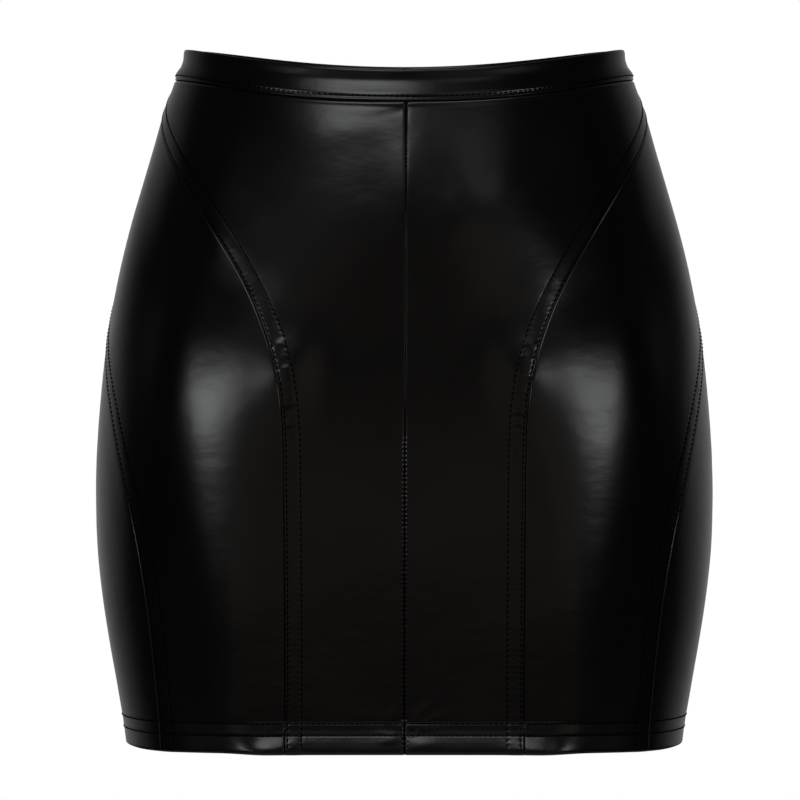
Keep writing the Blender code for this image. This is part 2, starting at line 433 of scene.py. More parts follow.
def seam_slope(seam, drop):
    """How far round a seam runs for each millimetre that it goes down."""
    return seam(drop + 0.5) - seam(drop - 0.5)


def slant(seam, drop):
    """How much longer a level step is than the same step square to a seam, at one drop."""
    return float(np.hypot(1.0, seam_slope(seam, drop)))


@lru_cache(maxsize=None)
def seam_lengths(seam):
    """Drops at even steps down a seam, from end to end, and the length along it at each."""
    drops = np.arange(BAND_HEIGHT - 1.5 * SEAM_STEP, LENGTH + 2 * SEAM_STEP, SEAM_STEP)
    line = np.array([surface_points(drop, [seam(drop)])[0] for drop in drops])
    steps = np.linalg.norm(np.diff(line, axis=0), axis=1)
    return drops, np.concatenate([[0.0], np.cumsum(steps)])


def along_seam(seam, distance, drop):
    """How far down a seam the point nearest to a place in front of it is."""
    drops, lengths = seam_lengths(seam)
    return np.interp(drop, drops, lengths) - distance * seam_slope(seam, drop)


def stitch_wave(seam, distance, drop):
    """1 at the needle holes of the rows beside a seam, and -1 at the middle of each stitch."""
    return np.cos(2 * np.pi * along_seam(seam, distance, drop) / STITCH_PITCH)


def lap_at(seam, drop, arcs):
    """Height of the lapped strip in front of a seam, drawn in by its two rows of stitches."""
    distance = (seam(drop) - np.abs(arcs)) / slant(seam, drop)
    height = np.where(distance > LAP_END, 0.0, lap_height(np.clip(distance, 0.0, LAP_END)))
    wave = stitch_wave(seam, distance, drop)
    for row, inward in ((NEAR_ROW, 1.0), (FAR_ROW, -1.0)):
        beside = (distance - row) * inward
        reach = SCALLOP_REACH * np.where(beside > 0, 1.0, SCALLOP_OUTSIDE)
        height += SCALLOP * wave * np.exp(-((beside - SCALLOP_OFFSET) / reach) ** 2)
    return height + puckers_at(seam, drop, arcs, distance)


def dip_at(seam, drop, arcs):
    """The cloth behind a lapped seam goes down and on under the panel in front."""
    behind = (np.abs(arcs) - seam(drop)) / slant(seam, drop)
    return -0.5 * UNDER_LAP * (1 - np.tanh(behind / DIP_SPAN))


def lips_at(drop, arcs):
    """The centre front seam's own stitches gather its two lips into rows of small beads."""
    reach = np.abs(arcs)
    rolled = read_off(LIP_STRENGTH, drop)
    share = np.where(arcs < 0, LIP_SCALLOPS[-1], LIP_SCALLOPS[1])
    beads = np.cos(2 * np.pi * drop / LIP_PITCH)
    near = (reach < LIP_FILL[-1][0]) * (reach > LIP_FILL[0][0])
    fill = max(0.0, 1 - rolled) * near * read_off(LIP_FILL, reach)
    return fill + rolled * share * beads * np.exp(-(((reach - LIP_MIDDLE) / LIP_REACH) ** 2))


print("lapped strip up to %.2f mm high" % max(row[1] for row in LAP_PROFILE))

# %% Puckers between the rows
SEWN = (front_seam, side_seam)
PUCKERS = 60
PUCKER_SEED = 40  # and one more for each further seam
PUCKER_GAPS = (4.5, 12.0)
PUCKER_HEIGHT = 0.07
PUCKER_SIGNS = (-0.6, 1.0)  # troughs are shallower than ridges are high
PUCKER_SPREAD = (0.4, 1.3)  # shares of that height
PUCKER_WIDTHS = (1.7, 3.6)
PUCKER_MIDDLES = (4.0, 6.2)  # distance from the seam
PUCKER_REACH = 3.2
PUCKER_RANGE = 40.0  # along the seam, past which one is left out
PUCKER_STRENGTH = (
    # drop, share of the height
    (17, 0.3), (110, 0.35), (150, 1.1), (170, 1.5), (205, 1.1), (235, 0.35), (330, 0.2),
    (386.5, 0.25),
)


@lru_cache(maxsize=None)
def pucker_table(seam, side):
    """Puckers along one seam: how far down it each is, its height, half width and middle."""
    number = 2 * SEWN.index(seam) + (side > 0)
    dice = np.random.default_rng(PUCKER_SEED + number)
    places = np.cumsum(dice.uniform(*PUCKER_GAPS, PUCKERS))
    signs = dice.choice(PUCKER_SIGNS, PUCKERS)
    heights = PUCKER_HEIGHT * signs * dice.uniform(*PUCKER_SPREAD, PUCKERS)
    widths = dice.uniform(*PUCKER_WIDTHS, PUCKERS)
    return places, heights, widths, dice.uniform(*PUCKER_MIDDLES, PUCKERS)


def puckers_at(seam, drop, arcs, distance):
    """Short ridges across the lapped strip, where the stitching has gathered the cloth."""
    at = along_seam(seam, distance, drop)
    total = np.zeros(len(arcs))
    for side in (-1, 1):
        here = (arcs < 0) == (side < 0)
        if not here.any():
            continue
        for place, height, width, middle in zip(*pucker_table(seam, side)):
            if abs(place - at[here].mean()) < PUCKER_RANGE:
                along, across = (at[here] - place) / width, (distance[here] - middle) / PUCKER_REACH
                total[here] += height * np.exp(-(along**2) - across**2)
    return read_off(PUCKER_STRENGTH, drop) * total


print("puckers at", pucker_table(front_seam, 1)[0][:6].round(0), "mm down the left front seam")

# %% [markdown]
# ## From a flat grid to a sewn panel
#
# A panel starts as a flat grid, as cloth starts on the cutting table. Each column of the grid is
# one line at a set distance from a seam, and each row one level, so that the narrow rolled edges
# get many columns and the plain middle gets few. Then every vertex is moved to its place on the
# worn form. A table for each kind of edge says how far its columns sink below the surface: the
# lapped edge rolls in, the edge behind it runs on underneath, and an open seam's allowance folds
# right back.

# %% Layers and edges, in millimetres
CLOTH = 0.7  # thickness, so that the sheets clear each other
FOLD = 2.1  # between the two faces of a fold
HEM_TURN = 18.0
OPEN_EDGE = (
    # distance_from_seam, sink
    (9, FOLD), (6.5, FOLD), (4.2, FOLD), (2.6, FOLD), (1.5, 2.1), (0.8, 2.05), (0.32, 1.8),
    (0.08, 1.45), (-0.02, 1.1), (0.03, 0.8), (0.1, 0.56), (0.2, 0.44), (0.34, 0.38), (0.5, 0.32),
    (0.68, 0.25), (0.88, 0.17), (1.1, 0.085), (1.4, 0.01), (2, 0), (3.2, 0), (4.8, 0),
)
UNDER_EDGE = tuple(
    # distance_behind_seam, sink
    (distance, 0.0)
    for distance in (-10.5, -8.0, -5.0, -2.8, -1.6, -0.9, -0.35, 0.1, 0.5, 0.95, 1.5, 2.3, 3.4, 5.0)
)
LAPPED_EDGE = (
    # distance_in_front_of_seam, sink
    (15.5, 0), (13.2, 0), (11.4, 0), (10.2, 0), (9.5, 0), (9, 0), (8.5, 0), (7.9, 0), (7.1, 0),
    (6.1, 0), (5, 0), (3.9, 0), (3, 0), (2.4, 0), (1.9, 0), (1.5, 0), (1.1, 0), (0.8, 0),
    (0.5, 0), (0.32, 0.04), (0.2, 0.16), (0.14, 0.42), (0.14, 0.95),
)
SEAM_GAP = 0.2  # how far each lip of the centre front stands back
GAP_SPAN = 1.1
GAP_DEPTH = 1.0  # columns that sink less stand back
HIDDEN_SINK = 1.4  # columns that sink more are a seam allowance
HIDDEN_BEHIND = -1.7  # so are those further than this in front
PANELS = {
    # kind: front edge, rear edge, how each is sewn, columns between
    "front": (centre_front, front_seam, OPEN_EDGE, LAPPED_EDGE, 33),
    "side": (front_seam, side_seam, UNDER_EDGE, LAPPED_EDGE, 26),
    "back": (side_seam, half_girth, UNDER_EDGE, OPEN_EDGE[::-1], 36),
}


def panel_columns(kind, drop):
    """Arcs of a panel's columns at one drop, on the +X half, and how far each sinks."""
    front_edge, rear_edge, front_sewn, rear_sewn, between = PANELS[kind]
    front, rear = front_edge(drop), rear_edge(drop)
    front_slant, rear_slant = slant(front_edge, drop), slant(rear_edge, drop)
    distances, head_sinks = np.array(front_sewn).T
    if front_sewn is OPEN_EDGE:
        opening = SEAM_GAP * np.exp(-((distances / GAP_SPAN) ** 2))
        distances = distances + (head_sinks < GAP_DEPTH) * opening
    tail_distances, tail_sinks = np.array(rear_sewn).T
    head, tail = front + distances * front_slant, rear - tail_distances * rear_slant
    middle = np.linspace(head[-1], tail[0], between + 2)[1:-1]
    sinks = np.concatenate([head_sinks, np.zeros(between), tail_sinks])
    return np.concatenate([head, middle, tail]), sinks


def hidden_columns(kind):
    """Which columns are a seam allowance, lying under another layer."""
    _, _, front_sewn, rear_sewn, between = PANELS[kind]
    head = [sink > HIDDEN_SINK or distance < HIDDEN_BEHIND for distance, sink in front_sewn]
    tail = [sink > HIDDEN_SINK for _, sink in rear_sewn]
    return np.array(head + [False] * between + tail)


print("columns:", {kind: len(hidden_columns(kind)) for kind in PANELS})

# %% Rows from the band's seam down, round the hem and up inside
ROW_STEP = {"front": 0.81, "side": 0.75, "back": 1.8}
FIRST_PLAIN_ROW = 21.3
TUCK = (
    # drop, sink
    (15.2, 1.5), (16.2, 1.5), (16.8, 1.45), (17.05, 1.1), (17.2, 0.75), (17.45, 0.42),
    (17.75, 0.18), (18.1, 0.02), (18.6, -0.09), (19.2, -0.1), (19.8, -0.04), (20.5, 0.01),
)
HEM_ROWS = (9.5, 16.0)  # their height above the hem
HEM_PROFILE = (
    # rise_from_hem, height
    (0, 3.78), (1.2, 3.7), (2.6, 3.31), (3.8, 2.91), (6, 2.13), (8.6, 1.13), (9.05, 0.96),
    (9.35, 0.66), (9.65, 0.66), (9.95, 1.05), (10.25, 1.31), (12.4, 0.58), (15.2, -0.2),
    (15.7, -0.4), (16, -0.53), (16.3, -0.4), (16.6, -0.12), (17.2, -0.02), (19, 0), (30, 0),
)
HEM_SIDE_SHARE = 0.16  # what is left of that at the sides
HEM_FADE = (74.0, 100.0)  # arcs over which the rest fades out
HEM_ROW_STEP = 0.42  # on the front panels, and twice that elsewhere
HEM_SWELL = 0.3  # how far the profile pushes the fold down too
FOLD_ROWS = 9
FOLD_CLEARANCE = 0.3
INSIDE_START = 1.5
INSIDE_ROWS = 9


def panel_rows(kind):
    """Each row's drop, how far it sinks, and how far the cloth has turned there."""
    rows = [(drop, sink, 0.0) for drop, sink in TUCK]
    radius = FOLD / 2
    hem_start = LENGTH - HEM_TURN
    hem_step = HEM_ROW_STEP if kind == "front" else 2 * HEM_ROW_STEP
    plain = np.arange(FIRST_PLAIN_ROW, hem_start, ROW_STEP[kind])
    in_hem = np.arange(hem_start, LENGTH - radius - FOLD_CLEARANCE, hem_step)
    rows += [(drop, 0.0, 0.0) for drop in (*plain, *in_hem)]
    for turn in np.linspace(0, np.pi, FOLD_ROWS):
        rows.append((LENGTH - radius * (1 - np.sin(turn)), radius * (1 - np.cos(turn)), turn))
    inside = np.linspace(INSIDE_START, HEM_TURN - radius, INSIDE_ROWS)
    return rows + [(LENGTH - radius - rise, FOLD, np.pi) for rise in inside]


def hem_relief(drop, arcs):
    """The hem's two rows of stitches press grooves into the cloth, which kicks out below them."""
    middle = np.minimum(np.abs(arcs), half_girth(float(drop)) - np.abs(arcs))
    return read_off(HEM_PROFILE, LENGTH - drop) * (1 - (1 - HEM_SIDE_SHARE) * eased(middle, *HEM_FADE))


def sewn_height(kind, drop, arcs):
    """How far a panel's seams lift or lower its face."""
    front_edge, rear_edge, front_sewn, rear_sewn, _ = PANELS[kind]
    height = hem_relief(drop, arcs)
    if rear_sewn is LAPPED_EDGE:
        height += lap_at(rear_edge, drop, arcs)
    if front_sewn is UNDER_EDGE:
        height += dip_at(front_edge, drop, arcs)
    else:
        height += lips_at(drop, arcs)
    return height


def worn_points(kind, drop, arcs, sinks=0.0, sink=0.0, turn=0.0):
    """Points of a panel's coated face at one drop, and the outward directions there."""
    base, across, out = surface_frame(drop, arcs)
    down = np.cross(across, out)
    facing = np.cos(turn) * out + HEM_SWELL * np.sin(turn) * down
    height = sewn_height(kind, drop, arcs) - sinks
    lift = relief(drop, arcs, base) - sink
    return base + out * lift[:, None] + facing * height[:, None], out


print("rows:", {kind: len(panel_rows(kind)) for kind in PANELS})

# %% Sheets of cloth
GRID_SIZE = 0.4
CUT_CLEARANCE = 1.5


def lay_grid(name, columns, rows):
    """A flat grid with one vertex for each column and row."""
    bpy.ops.object.select_all(action="DESELECT")
    bpy.ops.mesh.primitive_grid_add(x_subdivisions=columns - 1, y_subdivisions=rows - 1, size=GRID_SIZE)
    grid = bpy.context.object
    grid.name = grid.data.name = name
    return grid


def cut_away(sheet, chosen):
    """Cuts the chosen vertices out of a sheet."""
    bpy.ops.object.mode_set(mode="EDIT")
    bpy.ops.mesh.select_mode(type="VERT")
    bpy.ops.mesh.select_all(action="DESELECT")
    bpy.ops.object.mode_set(mode="OBJECT")
    sheet.data.vertices.foreach_set("select", np.asarray(chosen, bool))
    bpy.ops.object.mode_set(mode="EDIT")
    bpy.ops.mesh.delete(type="VERT")
    bpy.ops.object.mode_set(mode="OBJECT")


def give_thickness(sheet):
    """Adds the knit behind the coated face, and shades the cloth smooth."""
    solidify = sheet.modifiers.new("cloth", "SOLIDIFY")
    solidify.thickness = CLOTH * MM
    solidify.offset = -1.0
    solidify.material_offset = 1
    solidify.material_offset_rim = 1
    bpy.ops.object.modifier_apply(modifier=solidify.name)
    bpy.ops.object.shade_smooth()


def flat_size(drops, arcs):
    """Width and length in metres, and area, of the flat cut with its lines at these places."""
    drops, arcs = np.array(drops), np.array(arcs)
    widths = np.abs(np.diff(arcs, axis=1)).sum(axis=1)
    steps = np.abs(np.diff(drops))
    length = steps.sum()
    area = (0.5 * (widths[1:] + widths[:-1]) * steps).sum()
    width = arcs.max() - arcs.min()
    return (width * MM, length * MM), area * MM * MM


sheets = {}


def lay_sheet(node, points, drops, arcs, hidden=None):
    """A node's sheet of cloth with its vertices at these points, without the hidden ones."""
    points = np.array(points)
    sheet = lay_grid(node + "_sheet", points.shape[1], points.shape[0])
    sheet.data.vertices.foreach_set("co", (points * MM).ravel())
    if hidden is not None:
        cut_away(sheet, hidden.ravel())
    give_thickness(sheet)
    sheets[node] = (sheet, *flat_size(drops, arcs))
    print(sheet.name, len(sheet.data.polygons), "faces")


# %% The six panels
def build_panel(kind, hand):
    """One panel as a thin sheet. Hand 1 is the wearer's left, at +X."""
    rows = panel_rows(kind)[::-1]
    points, drops, arcs_laid = [], [], []
    for drop, sink, turn in rows:
        arcs, sinks = panel_columns(kind, drop)
        if hand < 0:
            arcs, sinks = -arcs[::-1], sinks[::-1]
        points.append(worn_points(kind, drop, arcs, sinks, sink, turn)[0])
        drops.append(drop)
        arcs_laid.append(arcs)
    in_hem = np.array(drops) > LENGTH - HEM_TURN - CUT_CLEARANCE
    hidden = np.outer(in_hem, hidden_columns(kind)[::hand])
    lay_sheet(kind + ("_left" if hand > 0 else "_right"), points, drops, arcs_laid, hidden)


for panel_kind in PANELS:
    for panel_hand in (1, -1):
        build_panel(panel_kind, panel_hand)

# %% [markdown]
# ## The waistband
#
# The band is one strip folded double over its top edge, with the panels' tops between its layers.
# It is made as the panels are, from one grid that goes right round: up the inside, over the fold
# and down the outside to the seam, where its edge turns under. Its outer face is slightly hollow,
# and swells out again just above its row of stitches, most of all at the sides.

# %% Waistband
BAND_INSIDE = (
    # drop, sink
    (17.8, 2.95), (16.6, 2.9), (15, 2.75), (12.5, 2.45), (9.5, 2.2), (6, FOLD), (3, FOLD),
    (1.95, 2.08), (1.65, 1.92), (1.25, 1.56),
)
BAND_FOLD = 1.2
BAND_FACE = (
    # drop, height
    (0.85, 0), (2, -0.1), (3.2, -0.24), (4.4, -0.37), (5.2, -0.44), (6, -0.46), (6.8, -0.43),
    (7.6, -0.37), (8.6, -0.25), (9.8, -0.1), (11, 0.04), (12.2, 0.18), (12.9, 0.23), (13.5, 0.23),
    (14, 0.18), (14.6, 0), (15, -0.1), (15.35, -0.12), (15.85, -0.06), (16.3, -0.01),
    (16.6, -0.06), (16.85, -0.28), (16.95, -0.6), (16.95, -1.05),
)
BAND_SIDE = (
    # drop, height added at the two sides
    (0, 0), (2, 0), (5.5, -0.35), (9.5, -0.45), (12, 0.3), (14.2, 0.8), (16.2, 0.35), (18, 0.2),
)
BAND_SIDE_REACH = 24.0
BAND_TURNED = -1.0  # rows deeper than this are turned under or inside
BAND_ROW = 14.6  # drop of the stitches
FINE_REACH = 150.0  # how far round the columns are close together
FINE_STEP = 0.58
COARSE_STEP = 2.4
BAND_SCALLOP = 0.045
BAND_END = (
    # distance_from_centre_back, sink
    (0.05, 0.9), (0.1, 0.5), (0.25, 0.24), (0.45, 0.1), (0.8, 0),
)
WAIST_REACH = half_girth(0.0)


def band_rows():
    """Each row's drop and how far its face stands in or out."""
    rows = [(drop, -sink) for drop, sink in BAND_INSIDE]
    radius = BAND_FOLD / 2
    for turn in np.linspace(np.pi, 0, FOLD_ROWS):
        rows.append((BAND_FACE[0][0] * (1 - np.sin(turn)), -radius * (1 - np.cos(turn))))
    face_drops, face_heights = np.array(BAND_FACE).T
    along = np.arange(len(face_drops))
    fine = np.linspace(0, along[-1], 2 * along[-1] + 1)[1:]
    drop_at = smooth_curve(list(zip(along, face_drops)))
    height_at = smooth_curve(list(zip(along, face_heights)))
    return rows + list(zip(drop_at(fine), height_at(fine)))


def band_points(drop, height, arcs, sinks=0.0):
    """Points of the band's coated face at one drop."""
    base, _, out = surface_frame(drop, arcs)
    beside = np.exp(-(((np.abs(arcs) - side_arc(float(drop))) / BAND_SIDE_REACH) ** 2))
    wave = np.cos(2 * np.pi * arcs / STITCH_PITCH)
    gather = BAND_SCALLOP * wave * np.exp(-(((drop - BAND_ROW) / SCALLOP_REACH) ** 2))
    face = (beside * read_off(BAND_SIDE, drop) + gather) * (height > BAND_TURNED)
    lift = height - sinks + face + relief(drop, arcs, base)
    return base + out * lift[:, None], out


def band_columns(reach):
    """Arcs round the band at one drop, closer together over the front, where its stitches show."""
    fine = FINE_REACH * np.linspace(-1, 1, int(2 * FINE_REACH / FINE_STEP) + 1)
    last = reach - BAND_END[-1][0]
    beyond = np.linspace(FINE_REACH, last, int((WAIST_REACH - FINE_REACH) / COARSE_STEP))[1:-1]
    ends = np.array([distance for distance, _ in BAND_END])
    return np.concatenate([ends - reach, -beyond[::-1], fine, beyond, reach - ends[::-1]])


def build_band():
    """The waistband as a thin sheet, folded over its top edge."""
    rows = band_rows()[::-1]
    end_sinks = [sink for _, sink in BAND_END]
    middle = len(band_columns(WAIST_REACH)) - 2 * len(end_sinks)
    sinks = np.array(end_sinks + [0.0] * middle + end_sinks[::-1])
    points, arcs_laid = [], []
    for drop, height in rows:
        level = round(float(drop), 2)
        arcs = band_columns(half_girth(level))
        points.append(band_points(level, float(height), arcs, sinks)[0])
        arcs_laid.append(arcs)
    lay_sheet("waistband", points, [drop for drop, _ in rows], arcs_laid)


build_band()

# %% [markdown]
# ## Topstitching
#
# The seams are topstitched with thick thread, about 3 mm a stitch. Each stitch is a short piece
# of thread that dives into the cloth at both ends. One is modelled from a cylinder, and copied
# along every row into one piece for each kind of seam, because thousands of separate objects
# would be slow.

# %% One stitch
STITCH_LENGTH = 2.6
THREAD = 0.7  # thickness
STITCH_SIDES = 5
STITCH_LEVEL = 0.55  # share between its two bends
STITCH_DIVE = 0.75  # depth of its ends, in thicknesses
STITCH_TIP = 0.7  # width of its ends, in thicknesses


def model_stitch():
    """A stitch along X, with +Z away from the cloth: its corners and faces, in millimetres."""
    bpy.ops.object.select_all(action="DESELECT")
    bpy.ops.mesh.primitive_cylinder_add(
        vertices=STITCH_SIDES, radius=THREAD / 2, depth=STITCH_LEVEL * STITCH_LENGTH,
        rotation=(0, np.pi / 2, 0),
    )
    stitch = bpy.context.object
    bpy.ops.object.transform_apply(rotation=True)
    for way in (-1, 1):
        bpy.ops.object.mode_set(mode="OBJECT")
        for element in (*stitch.data.edges, *stitch.data.vertices):
            element.select = False
        for face in stitch.data.polygons:
            face.select = face.normal.x * way > 0.9
            if face.select:
                for index in face.vertices:
                    stitch.data.vertices[index].select = True
        bpy.ops.object.mode_set(mode="EDIT")
        bpy.ops.mesh.select_mode(type="FACE")
        bend = (way * (1 - STITCH_LEVEL) / 2 * STITCH_LENGTH, 0, -STITCH_DIVE * THREAD)
        bpy.ops.mesh.extrude_region_move(TRANSFORM_OT_translate={"value": bend})
        bpy.ops.transform.resize(value=(1, STITCH_TIP, STITCH_TIP))
        bpy.ops.mesh.select_all(action="DESELECT")
    bpy.ops.object.mode_set(mode="OBJECT")
    corners = np.array([vertex.co for vertex in stitch.data.vertices])
    faces = [tuple(face.vertices) for face in stitch.data.polygons]
    bpy.data.objects.remove(stitch)
    return corners, faces


stitch_corners, stitch_faces = model_stitch()
print("one stitch:", len(stitch_faces), "faces,", np.ptp(stitch_corners[:, 0]).round(2), "mm long")

# %% Rows of stitches
THREAD_LIFT = 0.14  # height of its middle above the cloth
ROW_TOP = 18.2  # drop where the rows beside the seams start
ROW_FOOT = 0.9  # how far above the hem they end
PATH_STEP = 0.75
LEVEL_STEP = 1.0
ROW_MARGIN = 0.5  # from a panel's edge to its level rows
END_MARGIN = 0.4  # least share of a stitch left over at a row's end


def even_places(path, normals, length):
    """Places, directions and outward directions of stitches, halfway between even needle holes."""
    first = np.ceil(length[0] / STITCH_PITCH) + 0.5
    at = STITCH_PITCH * np.arange(first, length[-1] / STITCH_PITCH - END_MARGIN)

    def along(values, where):
        return np.stack([np.interp(where, length, values[:, axis]) for axis in range(3)], axis=-1)

    place = along(path, at)
    forward = along(path, at + 0.5 * STITCH_LENGTH) - along(path, at - 0.5 * STITCH_LENGTH)
    return place, forward, along(normals, at)


def sew(name, lines):
    """Copies the stitch along lines of (path, normals, lengths) into one piece."""
    corners, faces = [], []
    for path, normals, lengths in lines:
        place, forward, out = even_places(path, normals, lengths)
        forward = unit(forward)
        side = unit(np.cross(out, forward))
        out = np.cross(forward, side)
        axes = np.stack([forward, side, out], axis=1)
        copies = np.einsum("ci,sij->scj", stitch_corners, axes)
        copies += (place + THREAD_LIFT * out)[:, None, :]
        for copy in copies:
            start = len(corners) * len(stitch_corners)
            corners.append(copy)
            faces += [tuple(index + start for index in face) for face in stitch_faces]
    mesh = bpy.data.meshes.new(name)
    mesh.from_pydata((np.concatenate(corners) * MM).tolist(), [], faces)
    mesh.update()
    mesh.shade_smooth()
    piece = bpy.data.objects.new(name, mesh)
    bpy.context.scene.collection.objects.link(piece)
    return piece


def seam_line(kind, seam, distance, hand):
    """The path of a row at a distance in front of a seam, from the band to the hem."""
    path, normals, lengths = [], [], []
    for drop in np.arange(ROW_TOP, LENGTH - ROW_FOOT, PATH_STEP):
        arcs = np.array([hand * (seam(drop) - distance * slant(seam, drop))])
        point, out = worn_points(kind, drop, arcs)
        path.append(point[0])
        normals.append(out[0])
        lengths.append(along_seam(seam, distance, drop))
    return np.array(path), np.array(normals), np.array(lengths)


def both_rows(kind, seam):
    """The paths of the two rows beside a seam, on both halves."""
    return [seam_line(kind, seam, row, hand) for hand in (1, -1) for row in (NEAR_ROW, FAR_ROW)]


def level_line(drop, kind, hand, first, last):
    """The path of a level row between two arcs on one panel."""
    reach = np.arange(first, last, LEVEL_STEP)
    return *worn_points(kind, drop, hand * reach), reach


threads = {
    "front_seam_stitches": both_rows("front", front_seam),
    "side_seam_stitches": both_rows("side", side_seam),
}
band_reach = half_girth(BAND_ROW) - 2 * ROW_MARGIN
band_arcs = np.arange(-band_reach, band_reach, LEVEL_STEP)
band_face = band_points(BAND_ROW, dict(BAND_FACE)[BAND_ROW], band_arcs)
threads["band_stitches"] = [(*band_face, band_arcs)]
hem_lines = []
for rise in HEM_ROWS:
    hem_drop = LENGTH - rise
    for hem_hand in (1, -1):
        for panel_kind, (front_edge, rear_edge, *_) in PANELS.items():
            edges = front_edge(hem_drop) + ROW_MARGIN, rear_edge(hem_drop) - ROW_MARGIN
            hem_lines.append(level_line(hem_drop, panel_kind, hem_hand, *edges))
threads["hem_stitches"] = hem_lines

stitch_pieces = [sew(name, lines) for name, lines in threads.items()]
for piece in stitch_pieces:
    print(piece.name, len(piece.data.polygons) // len(stitch_faces), "stitches")

# %% [markdown]
# ## Materials
#
# The cloth is faux leather: a polyurethane film on a thin polyester knit. The film has hardly any
# colour of its own to scatter light, so nearly all that the eye sees is its satin reflection, a
# little uneven and broken up by a fine embossed grain. Colours are given as hex values, which one
# function turns into Blender's linear numbers.

# %% Material helpers
def linear(hex_colour):
    """A linear RGBA colour from an sRGB hex value."""
    channels = [int(hex_colour[i : i + 2], 16) / 255 for i in (1, 3, 5)]
    return [c / 12.92 if c <= 0.04045 else ((c + 0.055) / 1.055) ** 2.4 for c in channels] + [1.0]


def set_sockets(node, values):
    """Puts plain values on a node's sockets. An underscore in a name stands for a space."""
    for socket, value in values.items():
        node.inputs[socket.replace("_", " ")].default_value = value


def add_node(material, kind, links=(), **sockets):
    """Adds a node with its plain values and input links, and returns it."""
    node = material.node_tree.nodes.new(kind)
    set_sockets(node, sockets)
    for name, source in links:
        material.node_tree.links.new(source, node.inputs[name])
    return node


def new_material(name, **sockets):
    """A material with one Principled shader and its plain values."""
    material = bpy.data.materials.new(name)
    material.use_nodes = True
    shader = material.node_tree.nodes["Principled BSDF"]
    set_sockets(shader, sockets)
    return material, shader


# %% Faux leather: polyurethane film, satin, embossed with a fine grain
GRAIN_MM = 0.9
GRAIN_HEIGHT = 0.05
CLOUD_MM = 26.0
RIPPLE_MM = 9.0
RIPPLE_HEIGHT = 0.12

leather, leather_shader = new_material("polyurethane_faux_leather", IOR=1.5)
place = add_node(leather, "ShaderNodeTexCoord")
grain = add_node(
    leather, "ShaderNodeTexVoronoi", [("Vector", place.outputs["Object"])],
    Scale=1 / (GRAIN_MM * MM),
)
cloud = add_node(
    leather, "ShaderNodeTexNoise", [("Vector", place.outputs["Object"])],
    Scale=1 / (CLOUD_MM * MM), Detail=4.0, Roughness=0.6,
)
tint = add_node(leather, "ShaderNodeValToRGB", [("Fac", cloud.outputs["Fac"])])
tint.color_ramp.elements[0].color = linear("#090706")
tint.color_ramp.elements[1].color = linear("#0b0908")
sheen_spread = add_node(
    leather, "ShaderNodeMapRange", [("Value", cloud.outputs["Fac"])],
    From_Min=0.3, From_Max=0.7, To_Min=0.235, To_Max=0.25,
)
stretched = add_node(
    leather, "ShaderNodeMapping", [("Vector", place.outputs["Object"])], Scale=(0.6, 0.6, 1.0),
)
ripple = add_node(
    leather, "ShaderNodeTexNoise", [("Vector", stretched.outputs["Vector"])],
    Scale=1 / (RIPPLE_MM * MM), Detail=3.0, Roughness=0.55,
)
grain_bump = add_node(
    leather, "ShaderNodeBump", [("Height", grain.outputs["Distance"])],
    Strength=0.12, Distance=GRAIN_HEIGHT * MM,
)
bump = add_node(
    leather, "ShaderNodeBump",
    [("Height", ripple.outputs["Fac"]), ("Normal", grain_bump.outputs["Normal"])],
    Strength=1.0, Distance=RIPPLE_HEIGHT * MM,
)
leather.node_tree.links.new(tint.outputs["Color"], leather_shader.inputs["Base Color"])
leather.node_tree.links.new(sheen_spread.outputs["Result"], leather_shader.inputs["Roughness"])
leather.node_tree.links.new(bump.outputs["Normal"], leather_shader.inputs["Normal"])

# %% Knit backing: matte polyester jersey on the inside
WALE_MM = 1.0

backing, backing_shader = new_material("polyester_knit_backing", Roughness=0.9, Specular_IOR_Level=0.2)
backing_place = add_node(backing, "ShaderNodeTexCoord")
wales = add_node(
    backing, "ShaderNodeTexWave", [("Vector", backing_place.outputs["Object"])],
    Scale=0.5 / (WALE_MM * MM), Distortion=1.5,
)
shade = add_node(backing, "ShaderNodeValToRGB", [("Fac", wales.outputs["Fac"])])
shade.color_ramp.elements[0].color = linear("#131212")
shade.color_ramp.elements[1].color = linear("#1f1d1d")
backing.node_tree.links.new(shade.outputs["Color"], backing_shader.inputs["Base Color"])

# %% Thread: black polyester, softly shiny
thread, thread_shader = new_material("polyester_thread", Roughness=0.8, Specular_IOR_Level=0.02)
thread_shader.inputs["Base Color"].default_value = linear("#030303")

for node, (sheet, _, _) in sheets.items():
    sheet.data.materials.clear()
    sheet.data.materials.append(leather)
    sheet.data.materials.append(backing)
for piece in stitch_pieces:
    piece.data.materials.append(thread)
print("materials:", [material.name for material in bpy.data.materials if material.users])

# %% [markdown]
# ## What each piece stands for
#
# Each sheet takes its CAD node's place and states the flat size of its cut. The cloth is held
# stretched: the panels are sewn to the waistband, and the figure inside fills them.

# %% Riding, replacing and flat sizes
for node, (sheet, size, area) in sheets.items():
    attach(sheet, "root")
    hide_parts(node)
    print(node, "cut %.0f x %.0f mm, %.4f m2" % (size[0] / MM, size[1] / MM, area))
for piece in stitch_pieces:
    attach(piece, "root")

# %% [markdown]
# ## Floor and light
#
# Black satin cloth is drawn by what it reflects. Two small softboxes at the front corners give the
# highlights over the hips. Two higher up and one near the top light the upper front and the band,
# and three wide, faint, warm fills show the lower front. The dark room between them keeps the rest
# black. A pale backdrop behind the skirt gives its outline a pale rim, because a glossy film
# reflects most at a grazing angle.

